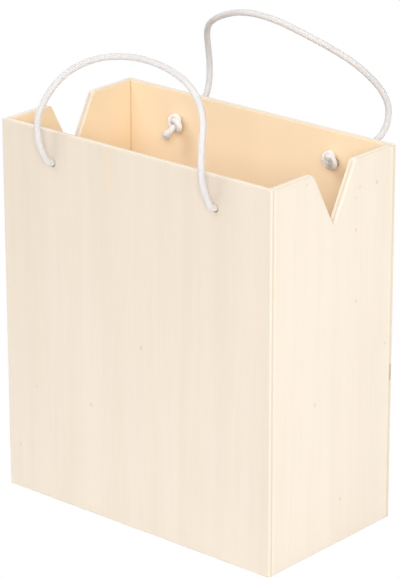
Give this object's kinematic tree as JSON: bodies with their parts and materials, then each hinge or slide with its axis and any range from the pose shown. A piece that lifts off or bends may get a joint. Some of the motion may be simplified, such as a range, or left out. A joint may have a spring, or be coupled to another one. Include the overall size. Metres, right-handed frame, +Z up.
{
  "type": "bottle caddy",
  "caption": "Tall open box of thin plywood, shaped like a carrier bag, with V notches in its ends and knotted cord handles.",
  "frame": {"origin": "middle of the box's underside, in the plane that it stands on", "axes": "+Z up, +X along the wide panels to the right seen from the front, +Y from the front panel to the back panel"},
  "size_m": [0.264, 0.2096, 0.3768],
  "materials": {
    "front_board": "bare sanded poplar plywood, upright grain",
    "back_board": "bare sanded poplar plywood, upright grain",
    "left_board": "bare sanded poplar plywood, upright grain",
    "right_board": "bare sanded poplar plywood, upright grain",
    "base_board": "bare sanded poplar plywood",
    "cord": "white round braided cord"
  },
  "bodies": {
    "box": {"base_panel": "base_board", "front_panel": "front_board", "back_panel": "back_board", "left_end_panel": "left_board", "right_end_panel": "right_board", "front_left_cord_in_hole": "cord", "front_right_cord_in_hole": "cord", "back_left_cord_in_hole": "cord", "back_right_cord_in_hole": "cord", "front_left_knot": "cord", "front_right_knot": "cord", "back_left_knot": "cord", "back_right_knot": "cord"},
    "front_handle": {"front_handle_loop": "cord"},
    "back_handle": {"back_handle_loop": "cord"}
  },
  "joints": [
    {"name": "front_handle_swing", "type": "hinge", "parent": "box", "child": "front_handle", "pos_m": [0, -0.0755, 0.276], "axis": [1, 0, 0], "range_deg": [-25, 145]},
    {"name": "back_handle_swing", "type": "hinge", "parent": "box", "child": "back_handle", "pos_m": [0, 0.0755, 0.276], "axis": [-1, 0, 0], "range_deg": [-75, 95]}
  ]
}
